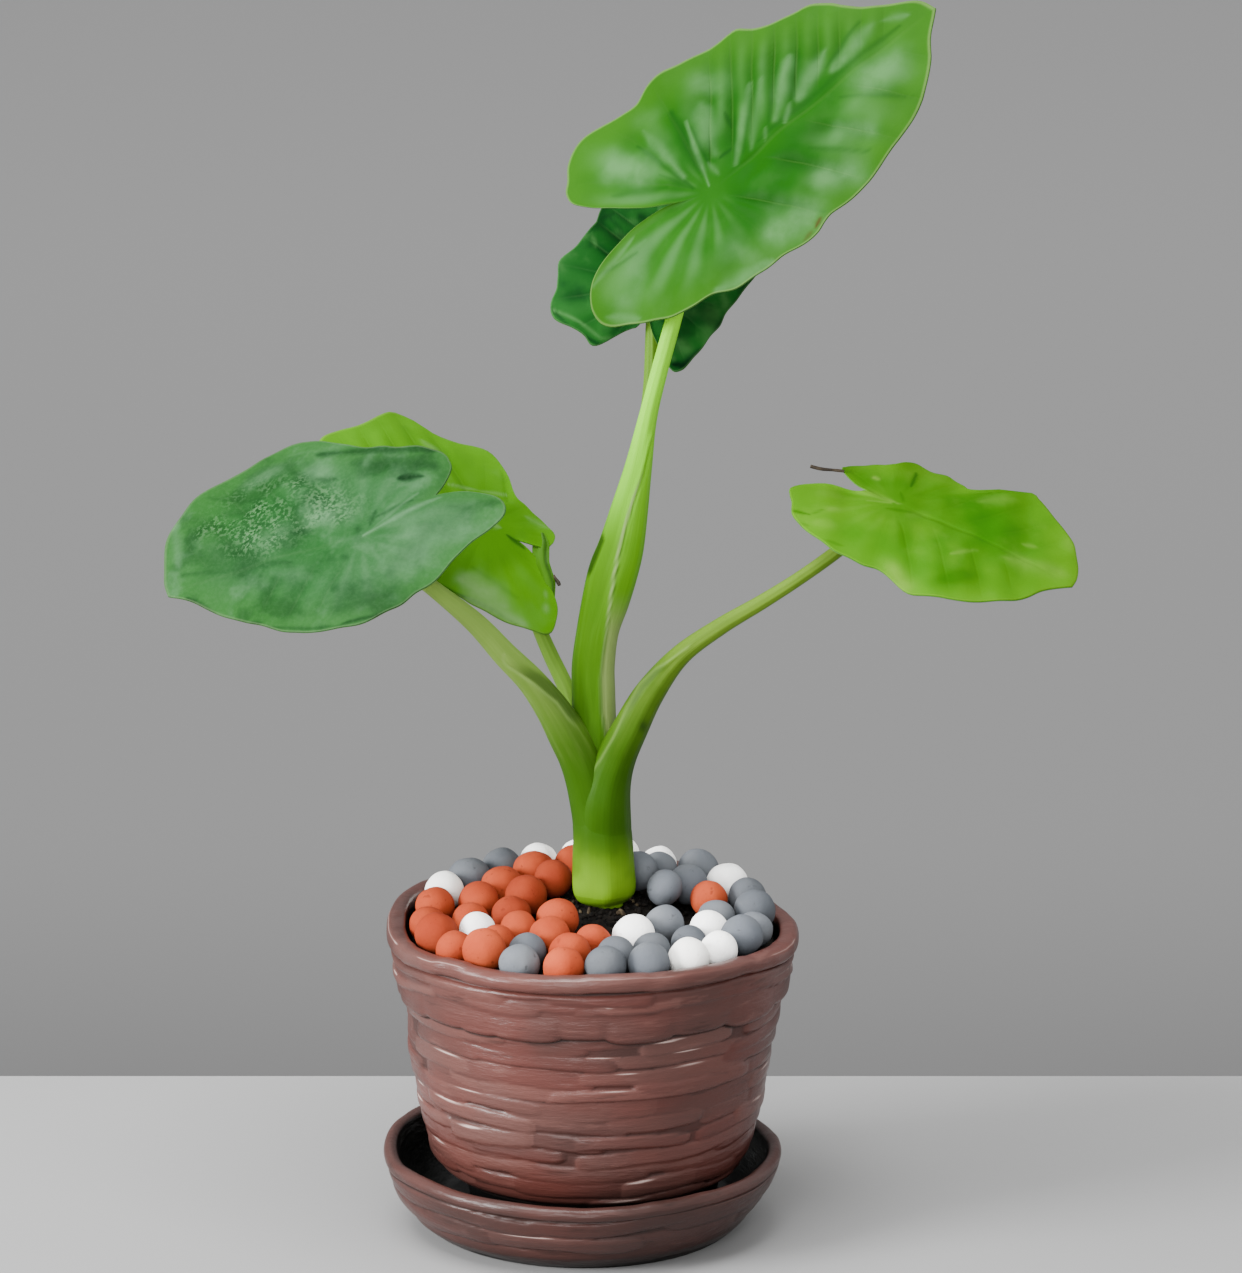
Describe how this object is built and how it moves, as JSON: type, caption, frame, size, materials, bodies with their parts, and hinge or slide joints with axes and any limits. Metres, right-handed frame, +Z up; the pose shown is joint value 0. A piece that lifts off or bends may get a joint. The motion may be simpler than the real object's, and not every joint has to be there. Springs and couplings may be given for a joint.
{
  "type": "potted giant taro",
  "caption": "Young giant taro with arrow-shaped leaves on long stalks, in a round laid-slate pot on a saucer, the soil covered with clay beads.",
  "frame": {"origin": "centre of the saucer's flat underside", "axes": "+Z up along the plant, +X to the right seen from the front, +Y away from the front"},
  "size_m": [0.2822, 0.1385, 0.3859],
  "materials": {
    "beads_grey": "matte",
    "beads_terracotta": "matte",
    "beads_white": "matte",
    "blade_left": "satin",
    "blade_left_rear": "satin",
    "blade_rear": "satin",
    "blade_right": "satin",
    "blade_tall": "satin",
    "petiole": "satin",
    "pot": "satin",
    "saucer": "satin",
    "soil": "matte",
    "stem": "satin"
  },
  "bodies": {
    "root": {"beads_grey_1": "beads_grey", "beads_grey_2": "beads_grey", "beads_grey_3": "beads_grey", "beads_grey_4": "beads_grey", "beads_grey_5": "beads_grey", "beads_grey_6": "beads_grey", "beads_terracotta_1": "beads_terracotta", "beads_terracotta_2": "beads_terracotta", "beads_white_1": "beads_white", "beads_white_2": "beads_white", "beads_white_3": "beads_white", "beads_white_4": "beads_white", "beads_white_5": "beads_white", "beads_white_6": "beads_white", "beads_white_7": "beads_white", "blade_left": "blade_left", "blade_left_rear": "blade_left_rear", "blade_rear": "blade_rear", "blade_right": "blade_right", "blade_tall": "blade_tall", "petiole_left": "petiole", "petiole_left_rear": "petiole", "petiole_rear": "petiole", "petiole_right": "petiole", "petiole_tall": "petiole", "pot": "pot", "saucer": "saucer", "soil": "soil", "stem": "stem"}
  },
  "joints": []
}
